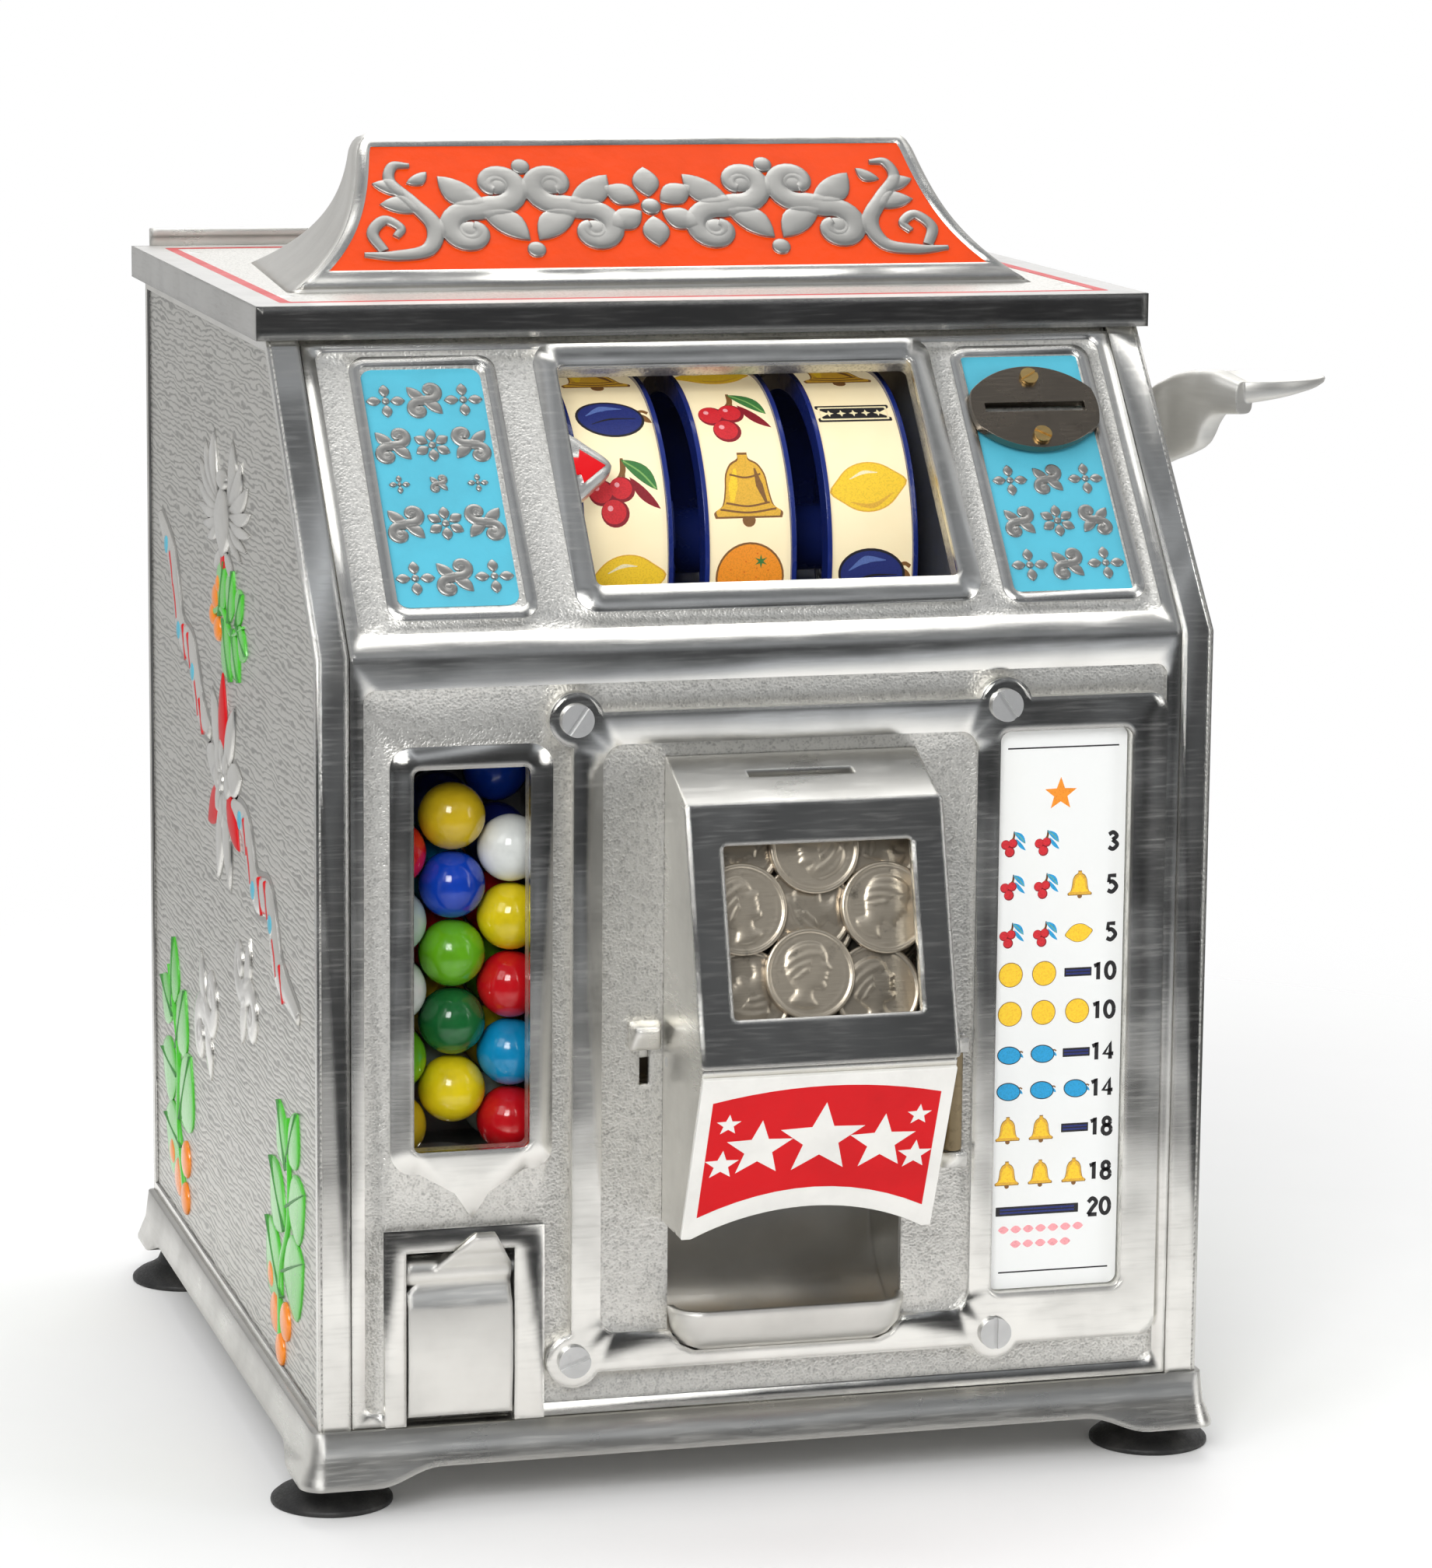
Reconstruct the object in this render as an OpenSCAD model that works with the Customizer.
// Countertop trade stimulator: three fruit reels, a gumball vend and a coin jackpot.
// Millimetres. X to the right, Y to the back, Z up. The origin lies on the counter,
// under the middle of the cabinet, and the front faces -Y.

/* [Cabinet] */
// Width over the two side castings
body_w = 214; // [210:1:222]
// Depth of the side castings
body_d = 228; // [222:1:240]
// Height of the cabinet between base and lid
body_h = 246; // [242:1:256]
// Height of the knee, where the front starts to lean back
knee_h = 180; // [178:1:184]
// How far the top of the front stands behind the knee
setback = 58; // [54:1:62]
// Wall of a side casting
side_t = 4; // [3:0.2:5]
// Width of the polished front edge of a side casting
strip_w = 7.6; // [6.6:0.2:8.6]
// Depth of the polished front edge of a side casting
strip_d = 9; // [7:0.5:12]
// Height of the raised rim round a side panel
rim_h = 0.8; // [0.4:0.1:1.4]
// Width of the raised rim round a side panel
rim_w = 2.6; // [1.5:0.1:5]
// Wall of the front casting
front_t = 3; // [2.4:0.1:4]
// Depth of the stippled floor behind the polished rims
recess = 1.6; // [1:0.1:2.2]
// Gap where two castings meet
seam = 0.3; // [0.2:0.05:0.6]

/* [Base and feet] */
// Height of a suction foot under the base
foot_h = 8; // [7.5:0.5:12]
// Diameter of a suction foot at its rim
foot_dia = 28.6; // [24:0.2:32]
// Distance of the feet from the middle, sideways
foot_x = 101; // [90:1:102]
// Distance of the feet from the middle, front to back
foot_y = 99; // [90:1:106]
// Height of the base at its corners
base_h = 13; // [11.5:0.5:18]
// Height of the base between its corners
base_mid_h = 9; // [7:0.5:10]
// How far the base stands out under the cabinet
base_ledge = 1.6; // [1:0.1:3]
// How far the foot of the base flares out past the ledge
base_flare = 3; // [2:0.5:5]
// Thickness of the base floor
base_floor = 4; // [3:0.5:6]

/* [Lid and marquee] */
// Thickness of the lid
lid_h = 8; // [6:0.5:12]
// Overhang of the lid at the sides
lid_side = 2.5; // [1:0.5:4]
// Overhang of the lid at the front
lid_front = 1.5; // [0.5:0.5:4]
// Overhang of the lid at the back
lid_back = 6.5; // [5.5:0.5:9]
// Thickness of the lid's top skin
lid_skin = 3; // [2:0.5:4]
// Height of the rear rail above the lid
rail_h = 4.5; // [3:0.5:7]
// Height of the marquee
marquee_h = 35.5; // [28:0.5:44]
// Width of the marquee at its foot
marquee_foot = 187; // [170:1:196]
// Width of the marquee at its top
marquee_top = 141; // [124:1:150]
// How much narrower the back of its foot is, on each side
marquee_taper = 7; // [0:0.5:12]
// Distance of the marquee from the middle
marquee_x = -2; // [-4:0.5:4]
// Depth of the marquee at its foot
marquee_d = 90; // [80:1:100]
// Depth of the marquee at its top
marquee_top_d = 9; // [6:1:16]
// How far the top front edge stands behind the foot
marquee_lean = 34; // [24:1:40]
// Wall of the marquee casting
marquee_t = 3; // [2:0.5:4]

/* [Reels] */
// Radius of the printed reel strips
reel_r = 40; // [37:0.5:41]
// Width of a reel
reel_w = 22.4; // [20:0.2:23]
// Distance from one reel to the next
reel_pitch = 30; // [29:0.5:31]
// Height of a reel flange above the strip
flange_h = 1; // [0.6:0.1:1.4]
// Diameter of the reel shaft
reel_shaft_dia = 6; // [5:0.5:8]
// Width of the reel window
reel_win_w = 87; // [80:1:90]
// Height of the reel window along the lean
reel_win_h = 62; // [56:1:64]
// Height of the middle of the reel window above the knee, along the lean
reel_win_s = 48; // [46:1:50]
// Height of the reel shaft's axis above the knee, along the lean
reel_s = 61; // [58:1:62]
// Number of stops on a reel
stops = 12; // [10:1:14]

/* [Jackpot] */
// Width of the jackpot housing
jack_w = 60; // [56:1:62]
// Height of the housing's upper edge above the base
jack_top = 155; // [150:1:156]
// Height of the frame's upper edge
frame_top = 147; // [144:1:149]
// Height of the frame's lower edge, the nose of the housing
frame_low = 88.5; // [84:0.5:92]
// Height of the sign's lower corners
sign_low = 45.5; // [43:0.5:48]
// Reach of the frame's upper edge in front of the plate
reach_top = 18; // [16:1:20]
// Reach of the nose in front of the plate
reach_nose = 35; // [32:1:38]
// Reach of the sign's lower edge in front of the plate
reach_sign = 16; // [14:1:18]
// Wall of the jackpot housing
jack_t = 2.4; // [1.8:0.2:3]
// Width of the jackpot window
jack_win_w = 45.6; // [42:0.2:48]
// Rise of the arch under the sign
arch_rise = 8; // [6:0.5:10]
// Width of the payout mouth
mouth_w = 57; // [52:1:58]
// Diameter of a coin
coin_dia = 21.2; // [19:0.1:21.6]
// Thickness of a coin
coin_t = 1.9; // [1.6:0.1:2]

/* [Gum] */
// Diameter of a gumball
ball_dia = 15.9; // [14:0.1:16]
// Rows of gumballs in stock
ball_rows = 5; // [1:1:7]
// Width of the gum window
gum_win_w = 27.2; // [24:0.2:30]
// Height of the gum window's lower edge
gum_win_low = 65; // [62:1:68]
// Height of the gum window's upper edge
gum_win_top = 154; // [148:1:158]
// Width of the gum flap
flap_w = 24.6; // [22:0.2:26]
// Height of the flap's pivot
flap_pivot = 36; // [34:0.5:38]
// Diameter of the flap's pin
flap_pin_dia = 3.2; // [2.6:0.2:3.6]

/* [Handle] */
// Height of the handle shaft above the reel shaft
handle_up = 27.9; // [26:0.1:30]
// Distance of the handle shaft behind the reel shaft
handle_behind = 17.7; // [16:0.1:22]
// Diameter of the handle shaft
handle_dia = 8; // [6:0.5:9]
// Diameter of the thumb pad
pad_dia = 28.6; // [24:0.2:32]
// Travel of the handle, degrees
handle_travel = 40; // [25:1:45]

/* [Hidden] */
$fn = 64;

// Places shared by many pieces
base_top = foot_h + base_h;
front_y = -body_d / 2;
back_y = body_d / 2;
knee_z = base_top + knee_h;
lid_z = base_top + body_h;
lean = atan(setback / (body_h - knee_h));
lean_len = setback / sin(lean);
in_w = body_w - 2 * strip_w - 2 * seam;
inner_depth = recess + front_t;
gum_x = -in_w / 2 + 28;
card_x = in_w / 2 - 28.5;
blue_x = in_w / 2 - 23.5;
screw_l = -in_w / 2 + 52;
screw_r = in_w / 2 - 43.6;
mid_x = (screw_l + screw_r) / 2;
fit = 0.05;

// Outline of the front, seen from the side, at a depth behind its outer face
function knee_at(depth) = [front_y + depth, knee_z - depth * tan(lean / 2)];
function lean_y(depth, z) = front_y + depth / cos(lean) + (z - knee_z) * tan(lean);
function front_line(depth, low, top) = [
    [front_y + depth, low], knee_at(depth), [lean_y(depth, top), top]
];
// The band between two depths, as one outline
function front_band(depth0, depth1, low, top) = let(b = front_line(depth1, low, top))
    concat(front_line(depth0, low, top), [b[2], b[1], b[0]]);

// Frames for shapes drawn flat: x stays, y runs up the face, z comes out of it
module on_front(out = 0) translate([0, front_y - out, base_top]) rotate([90, 0, 0]) children();
module on_lean(out = 0) translate([0, front_y, knee_z]) rotate([90 - lean, 0, 0])
    translate([0, 0, out]) children();
// A side view drawn in (y, z), extruded along X about its middle
module along_x(w) rotate([90, 0, 90]) linear_extrude(w, center = true) children();
module rod_x(dia, x0, x1) translate([x0, 0, 0]) rotate([0, 90, 0]) cylinder(d = dia, h = x1 - x0);

// A rectangle with round corners, from its corner points
module round_rect(x0, x1, y0, y1, r) {
    translate([x0 + r, y0]) square([x1 - x0 - 2 * r, y1 - y0]);
    translate([x0, y0 + r]) square([x1 - x0, y1 - y0 - 2 * r]);
    for (x = [x0 + r, x1 - r], y = [y0 + r, y1 - r]) translate([x, y]) circle(r);
}
module ring_rect(x0, x1, y0, y1, r, band) difference() {
    round_rect(x0, x1, y0, y1, r);
    round_rect(x0 + band, x1 - band, y0 + band, y1 - band, max(r - band, 0.4));
}
// A slotted cheese-head screw standing on z = 0, its shank below
module slotted_screw(head, height, shank, length) {
    difference() {
        cylinder(d = head, h = height);
        translate([-head, -head * 0.07, height * 0.55]) cube([2 * head, head * 0.14, height]);
    }
    translate([0, 0, -length]) cylinder(d = shank, h = length);
}

// Base, feet and their fasteners
stud_dia = 5;
stud_in = 4.4;
neck_dia = 13;
base_x = body_w / 2 + base_ledge;
base_y = body_d / 2 + base_ledge;
base_r = 2.5;
corner_w = 30;
corner_ease = 16;
module base_slab(grow, z, h) translate([0, 0, z]) linear_extrude(h)
    round_rect(-base_x - grow, base_x + grow, -base_y - grow, base_y + grow, base_r + grow);
// Space under the base between two corners, easing down to them
module arch(half, rise, steps = 8) polygon(concat([[-half, -20], [half, -20]],
    [for (i = [0 : steps]) let(a = i / steps)
        [half - corner_w + corner_ease * (1 - a), rise * (1 - cos(180 * a)) / 2]],
    [for (i = [0 : steps]) let(a = 1 - i / steps)
        [-half + corner_w - corner_ease * (1 - a), rise * (1 - cos(180 * a)) / 2]]
));
module base_casting() color("silver") difference() {
    union() {
        hull() {
            base_slab(0, base_top - 1.6, 1.6);
            base_slab(base_flare * 0.3, base_top - base_h * 0.55, 0.1);
        }
        hull() {
            base_slab(base_flare * 0.3, base_top - base_h * 0.55, 0.1);
            base_slab(base_flare, foot_h, 0.8);
        }
    }
    // the hollow under the floor, the corner pads stay
    difference() {
        translate([-base_x + 3, -base_y + 3, foot_h - 1])
            cube([2 * base_x - 6, 2 * base_y - 6, base_h + 1 - base_floor]);
        for (x = [-foot_x, foot_x], y = [-foot_y, foot_y]) translate([x, y, foot_h - 1])
            cylinder(d = neck_dia + 5, h = base_h);
    }
    // the long arches between the corners
    for (s = [-1, 1]) {
        translate([0, s * base_y, foot_h]) rotate([90, 0, 0])
            linear_extrude(4 * (base_flare + 6), center = true) arch(base_x, base_h - base_mid_h);
        translate([s * base_x, 0, foot_h]) rotate([90, 0, 90])
            linear_extrude(4 * (base_flare + 6), center = true) arch(base_y, base_h - base_mid_h);
    }
    for (x = [-foot_x, foot_x], y = [-foot_y, foot_y]) translate([x, y, foot_h - 2]) {
        cylinder(d = stud_dia, h = base_h + 4);
        translate([0, 0, base_h + 2 - 3.4]) cylinder(d = 10.4, h = 5);
    }
    for (p = side_screws()) translate([p[0], p[1], foot_h]) cylinder(d = 4, h = base_h + 1);
}
module suction_feet() color([0.08, 0.08, 0.08])
    for (x = [-foot_x, foot_x], y = [-foot_y, foot_y]) translate([x, y, 0])
    difference() {
        rotate_extrude() polygon([
            [0, 1.8], [foot_dia / 2 - 4, 0], [foot_dia / 2, 0], [foot_dia / 2, 1.1],
            [foot_dia / 2 - 1.6, 2.4], [foot_dia / 2 - 4.2, 3.6], [neck_dia / 2 + 1.2, foot_h - 2.8],
            [neck_dia / 2, foot_h], [0, foot_h]
        ]);
        translate([0, 0, foot_h - stud_in]) cylinder(d = stud_dia, h = stud_in + 1);
    }
module foot_studs() color("gray")
    for (x = [-foot_x, foot_x], y = [-foot_y, foot_y]) translate([x, y, 0]) {
        translate([0, 0, foot_h - stud_in]) cylinder(d = stud_dia, h = stud_in + base_h - 0.6);
        translate([0, 0, base_top - 3.4]) difference() {
            cylinder(d = 9, h = 2.6, $fn = 6);
            translate([0, 0, -1]) cylinder(d = stud_dia, h = 5);
        }
    }
// Screws up through the floor into the side castings' feet
function side_screws() = [for (x = [-1, 1], y = [-0.62, 0.62])
    [x * (body_w / 2 - side_t - 4.5), y * body_d / 2]];
module base_screws() color("gray") for (p = side_screws()) translate([p[0], p[1], base_top - base_floor])
    rotate([180, 0, 0]) slotted_screw(7, 2.4, 4, base_floor + 6);

// Side castings
foot_rib = 9;
lid_boss = 8;
module side_outline(inset) {
    low = base_top + inset;
    k = knee_at(inset);
    polygon([
        [front_y + inset, low], k, [lean_y(inset, lid_z - inset), lid_z - inset],
        [back_y - inset, lid_z - inset], [back_y - inset, low]
    ]);
}
module side_casting(s) {
    skin = side_t - rim_h;
    difference() {
        union() {
            translate([s * (body_w / 2 - rim_h - skin / 2), 0, 0]) along_x(skin) side_outline(0);
            translate([s * (body_w / 2 - rim_h / 2), 0, 0]) along_x(rim_h) difference() {
                side_outline(0);
                side_outline(rim_w);
            }
            // polished strip down the front
            translate([s * (body_w / 2 - side_t - (strip_w - side_t) / 2), 0, 0])
                along_x(strip_w - side_t) polygon(front_band(0, strip_d, base_top, lid_z));
            // rear rib for the lock and the hinge, foot rib for the base screws
            translate([s * (body_w / 2 - side_t - 3), back_y - 3, (base_top + lid_z) / 2])
                cube([6, 6, body_h], center = true);
            for (y = [-0.62, 0.62])
                translate([s * (body_w / 2 - side_t - foot_rib / 2), y * body_d / 2, base_top + 4])
                cube([foot_rib, 16, 8], center = true);
            // bosses under the lid screws
            for (p = lid_holes()) translate([s * (body_w / 2 - side_t - lid_boss / 2), p[1], lid_z - 6])
                cube([lid_boss, lid_boss, 12], center = true);
        }
        for (p = side_screws()) translate([p[0], p[1], base_top - 1]) cylinder(d = 4, h = 7.2);
        for (p = lid_holes()) translate([p[0], p[1], lid_z - 12]) cylinder(d = 3, h = 13);
    }
}
module left_side() color("silver") side_casting(-1);
bush_dia = 13;
hinge_x = body_w / 2 - 1.8;
hinge_y = back_y + 3.2;
hinge_pin_dia = 2.6;
knuckle_dia = 5;
knuckle_h = 14;
hinge_z = [base_top + 34, lid_z - 50];
module right_side() color("silver") {
    difference() {
        side_casting(1);
        translate([body_w / 2 - 20, handle_y, base_top + handle_z]) rotate([0, 90, 0])
            cylinder(d = bush_dia, h = 30);
        // the knuckles are joined below and above the door's own
        for (z = hinge_z) translate([hinge_x, hinge_y, z - 1]) cylinder(d = knuckle_dia, h = knuckle_h);
    }
    for (z = hinge_z, k = [-1, 1]) translate([0, 0, z + k * (knuckle_h + 0.3)]) difference() {
        union() {
            translate([hinge_x, hinge_y, 0]) cylinder(d = knuckle_dia, h = knuckle_h);
            translate([hinge_x - 1.8, back_y - 0.5, 0]) cube([3.6, hinge_y - back_y, knuckle_h]);
        }
        translate([hinge_x, hinge_y, -1]) cylinder(d = hinge_pin_dia, h = knuckle_h + 2);
    }
    // hinge pins, pressed into the outer knuckles
    for (z = hinge_z) translate([hinge_x, hinge_y, z - knuckle_h - 0.3])
        cylinder(d = hinge_pin_dia, h = 3 * knuckle_h + 0.6);
}

// Front casting, one bent plate with raised borders
win_x0 = mid_x - reel_win_w / 2;
win_x1 = mid_x + reel_win_w / 2;
win_s0 = reel_win_s - reel_win_h / 2;
win_s1 = reel_win_s + reel_win_h / 2;
blue_w = 30;
blue_s0 = 12.5;
blue_s1 = 80.5;
flap_x = gum_x - 2.7;
flap_gap = 0.5;
rim_out = 1;
flap_skin = 1.2;
gum_open_l = flap_x - flap_w / 2 - 4.2;
gum_open_r = flap_x + flap_w / 2 + 6.3;
gum_open_h = flap_pivot + 5.5;
gum_rim = 4.6;
lug_d = 6.4;
lug_t = 4;
plate_x0 = screw_l - 0.6;
plate_x1 = in_w / 2 - 3.6;
module raised(lift) linear_extrude(lift) children();
module front_casting() color("silver") difference() {
    union() {
        along_x(in_w) polygon(front_band(recess, inner_depth, base_top + seam, lid_z));
        // border of the lower face
        on_front(-recess) raised(recess) difference() {
            translate([-in_w / 2, seam]) square([in_w, knee_h - seam]);
            round_rect(-in_w / 2 + 3, in_w / 2 - 3, 3.2, knee_h - 7.5, 3);
        }
        // border of the leaning face
        on_lean(-recess) raised(recess) difference() {
            translate([-in_w / 2, 0]) square([in_w, lean_len - recess * tan(lean)]);
            round_rect(-in_w / 2 + 3, in_w / 2 - 3, 6, lean_len - 3, 3);
        }
        // polished ridge round the reel window
        on_lean(-recess) raised(recess + 0.8)
            ring_rect(win_x0 - 5, win_x1 + 5, win_s0 - 6, win_s1 + 6, 5, 6);
        // ridges round the two enamelled panels
        for (x = [gum_x, blue_x]) on_lean(-recess) raised(recess - 0.2)
            ring_rect(x - blue_w / 2 - 2.4, x + blue_w / 2 + 2.4, blue_s0 - 2.4, blue_s1 + 2.4, 4, 2.4);
        // polished bezel of the gum window, with its drip
        on_front(-recess) raised(recess + 0.8) {
            round_rect(gum_x - 18.8, gum_x + 18.8, gum_win_low - 5, gum_win_top + 5, 5);
            translate([gum_x, gum_win_low - 4]) polygon([[-14, 0], [14, 0], [4, -6], [0, -12], [-4, -6]]);
        }
        // raised rim round the flap
        on_front(-recess) raised(recess + rim_out)
            translate([gum_open_l - 1.2, seam]) square([gum_open_r - gum_open_l + 2.4, gum_open_h + gum_rim]);
        // lugs behind, for the flap's pin
        for (x = [gum_open_l - lug_t, gum_open_r])
            translate([x, front_y + recess, base_top + flap_pivot - 5]) cube([lug_t, lug_d, 10]);
    }
    on_front(-20) linear_extrude(30) {
        round_rect(gum_x - gum_win_w / 2, gum_x + gum_win_w / 2, gum_win_low, gum_win_top, 1.6);
        translate([flap_x - flap_w / 2 - flap_gap, -2]) square([flap_w + 2 * flap_gap, gum_open_h + 2]);
        // the bay behind the jackpot door and the cup
        round_rect(mid_x - jack_bay / 2, mid_x + jack_bay / 2, 13, jack_top - 3, 3);
    }
    // room for the flap's pin and spring, behind a thin skin of the rim
    on_front(-20) linear_extrude(20 + rim_out - flap_skin) polygon([
        [flap_x - flap_w / 2 - flap_gap, 17], [gum_open_l, 24], [gum_open_l, gum_open_h - 2],
        [gum_open_l + 2, gum_open_h], [gum_open_r - 2, gum_open_h], [gum_open_r, gum_open_h - 2],
        [gum_open_r, 26], [flap_x + flap_w / 2 + flap_gap, 17]
    ]);
    translate([0, flap_y, base_top + flap_pivot])
        rod_x(flap_pin_dia + 0.02, gum_open_l - 3 * lug_t, gum_open_r + 3 * lug_t);
    on_front(-20) for (x = [screw_l, screw_r], z = [screw_low, screw_high])
        translate([x, z, 0]) cylinder(d = plate_screw_shank, h = 30);
    on_lean(-20) linear_extrude(30) round_rect(win_x0, win_x1, win_s0, win_s1, 1.6);
    on_lean(-20) linear_extrude(30) translate([blue_x - slot_w / 2, coin_s - slot_h / 2])
        square([slot_w, slot_h]);
    on_lean(-20) for (s = [-1, 1]) translate([blue_x, coin_s + s * coin_screw_off, 0])
        cylinder(d = 2.6, h = 30);
}

// Strapwork plate over the jackpot bay and the award card
plate_t = 3.6;
plate_floor = 1.5;
plate_face = plate_t - recess;
floor_face = plate_floor - recess;
arm_w = 5.6;
ear_r = 6.4;
bay_l = screw_l + 6.2;
bay_r = screw_r - 6.2;
bay_low = 19.3;
bay_top = 158.5;
jack_bay = 80;
screw_low = 13.6;
screw_high = 164.4;
plate_screw_shank = 4;
card_w = 32.4;
card_low = 23;
card_top = 158;
module plate_outline() {
    round_rect(plate_x0, plate_x1, screw_low - 3, screw_high + 1.6, 4);
    for (x = [screw_l, screw_r], z = [screw_low, screw_high]) translate([x, z]) circle(ear_r);
}
module strap_plate() color("silver") difference() {
    union() {
        on_front(-recess) linear_extrude(plate_t) difference() {
            plate_outline();
            round_rect(bay_l, bay_r, bay_low, bay_top, 5);
            // seat of the cup's lip in the lower band
            translate([mid_x, 0]) for (s = [-1, 1]) scale([s, 1]) polygon([
                [0, cup_low - 0.3], [mouth_w / 2 - 6.2, cup_low - 0.3], [mouth_w / 2 - 2.8, cup_low + 1.2],
                [mouth_w / 2 - 0.4, cup_low + 4.5], [mouth_w / 2 + 0.3, mouth_low + 10], [0, mouth_low + 10]
            ]);
        }
        on_front(-recess) linear_extrude(plate_floor) round_rect(bay_l - 1, bay_r + 1,
            bay_low - 1, bay_top + 1, 5);
        // lugs that hold the door's pin, and the guard over the latch slot
        for (z = [pin_low - lug_h, pin_top]) on_front(floor_face) translate([pin_x, z, 0])
            difference() {
                translate([-3, 0, -0.2]) cube([6, lug_h, pin_out + 2.6]);
                translate([0, -1, pin_out]) rotate([-90, 0, 0]) cylinder(d = door_pin_dia, h = lug_h + 2);
            }
    }
    on_front(-20) linear_extrude(40) {
        round_rect(mid_x - mouth_w / 2, mid_x + mouth_w / 2, mouth_low, mouth_high, 5);
        translate([mid_x - jack_w / 2 + jack_t, sign_low + 8])
            square([jack_w - 2 * jack_t, jack_top - sign_low - 8 - 2 * jack_t]);
        round_rect(card_x - card_w / 2, card_x + card_w / 2, card_low, card_top, 2.4);
        translate([latch_x - 1.2, latch_z - 9]) square([2.4, 14]);
    }
    on_front(-20) for (x = [screw_l, screw_r], z = [screw_low, screw_high])
        translate([x, z, 0]) cylinder(d = plate_screw_shank, h = 40);
}
module plate_screws() color("gainsboro") on_front(plate_face)
    for (i = [0, 1], j = [0, 1]) translate([[screw_l, screw_r][i], [screw_low, screw_high][j], 0])
    rotate([0, 0, 20 + 70 * i + 35 * j])
    slotted_screw(7.6, 1.4, plate_screw_shank, plate_t + front_t - 0.3);

// Coin entry
coin_s = 63.4;
slot_w = 25;
slot_h = 2.6;
coin_plate_t = 2.2;
coin_screw_off = 8.4;
lens_h = 11.7;
lens_w = 18.4;
lens_end = 15.9;
lens_r = (lens_w * lens_w + lens_h * lens_h) / (2 * lens_h);
module coin_plate() color([0.3, 0.25, 0.2]) on_lean() translate([blue_x, coin_s, -0.2]) difference() {
    linear_extrude(coin_plate_t) intersection() {
        translate([0, lens_h - lens_r]) circle(lens_r);
        translate([0, lens_r - lens_h]) circle(lens_r);
        circle(lens_end);
    }
    translate([-slot_w / 2, -slot_h / 2, -1]) cube([slot_w, slot_h, 6]);
    for (s = [-1, 1]) translate([0, s * coin_screw_off, -1]) cylinder(d = 2.6, h = 6);
}
module coin_plate_screws() color("goldenrod") on_lean(coin_plate_t - 0.2)
    for (s = [-1, 1]) translate([blue_x, coin_s + s * coin_screw_off, 0]) rotate([0, 0, 30 * s])
    slotted_screw(4.4, 1, 2.6, coin_plate_t + inner_depth + 1);

// Lid, rear rail and marquee
lid_x = body_w / 2 + lid_side;
lid_y0 = -body_d / 2 + setback - lid_front;
lid_y1 = back_y + lid_back;
function lid_holes() = [for (x = [-1, 1], y = [lid_y0 + 26, back_y - 18])
    [x * (body_w / 2 - side_t - lid_boss / 2), y]];
module lid_casting() color("silver") difference() {
    translate([-lid_x, lid_y0, lid_z]) cube([2 * lid_x, lid_y1 - lid_y0, lid_h]);
    translate([-lid_x + strip_w + 3, lid_y0 + 14, lid_z - 1])
        cube([2 * lid_x - 2 * strip_w - 6, lid_y1 - lid_y0 - 26, lid_h - lid_skin + 1]);
    for (p = lid_holes()) translate([p[0], p[1], lid_z - 1]) {
        cylinder(d = 3, h = lid_h + 2);
        translate([0, 0, lid_h]) cylinder(d = 6, h = 4);
    }
    for (p = marquee_holes()) translate([p[0], p[1], lid_z - 1]) cylinder(d = 3, h = lid_h + 2);
}
module lid_rail() color("silver") {
    translate([-lid_x + 5, lid_y1, lid_z + 2]) cube([2 * lid_x - 10, 2, lid_h - 2 + rail_h]);
    translate([-lid_x + 5, lid_y1 - 2, lid_z + lid_h + rail_h - 2])
        cube([2 * lid_x - 10, 2, 2]);
}
module lid_screws() color("gray") {
    for (p = lid_holes()) translate([p[0], p[1], lid_z + lid_h - 1]) slotted_screw(6, 1, 3, lid_h + 9);
    // two from below hold the marquee
    for (p = marquee_holes()) translate([p[0], p[1], lid_z + lid_h - lid_skin]) rotate([180, 0, 0])
        slotted_screw(6, 1, 3, lid_skin + 8);
}
function marquee_y0() = lid_y0 + 33.5;
function marquee_holes() = [for (x = [-60, 60]) [x, marquee_y0() + marquee_lean + 6]];
marquee_round = 5;
// Sections of the marquee from foot to top: the front leans back flat, the rest flares
function marquee_section(t, wall) = let(
    z = (marquee_h - wall) * t,
    r = marquee_round - wall / 2,
    over = max(0, z - (marquee_h - wall - r)),
    drawn_in = 0.65 * (1 - pow(1 - t, 3.5)) + 0.35 * t,
    half = marquee_foot / 2 - wall - (marquee_foot - marquee_top) / 2 * drawn_in
        - (r - sqrt(r * r - over * over)),
    half_back = half - marquee_taper * (1 - t),
    front = marquee_y0() + wall * 1.3 + marquee_lean * t,
    back = marquee_y0() + marquee_lean + marquee_top_d - wall
        + (marquee_d - marquee_lean - marquee_top_d) * pow(1 - t, 1.8)
) [for (p = [[-half, front], [half, front], [half_back, back], [-half_back, back]])
    [marquee_x + p[0], p[1], lid_z + lid_h + z]];
module marquee_loft(wall) {
    rows = [0, 0.03, 0.07, 0.12, 0.18, 0.25, 0.33, 0.42, 0.52, 0.62, 0.72, 0.82, 0.9, 0.95, 0.98, 1];
    last = len(rows) - 1;
    polyhedron(
        points = [for (t = rows) each marquee_section(t, wall)],
        faces = concat(
            [[0, 1, 2, 3]],
            [for (i = [0 : last - 1], k = [0 : 3]) let(a = 4 * i + k, b = 4 * i + (k + 1) % 4)
                each [[a, a + 4, b + 4], [a, b + 4, b]]],
            [[4 * last + 3, 4 * last + 2, 4 * last + 1, 4 * last]]
        )
    );
}
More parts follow.
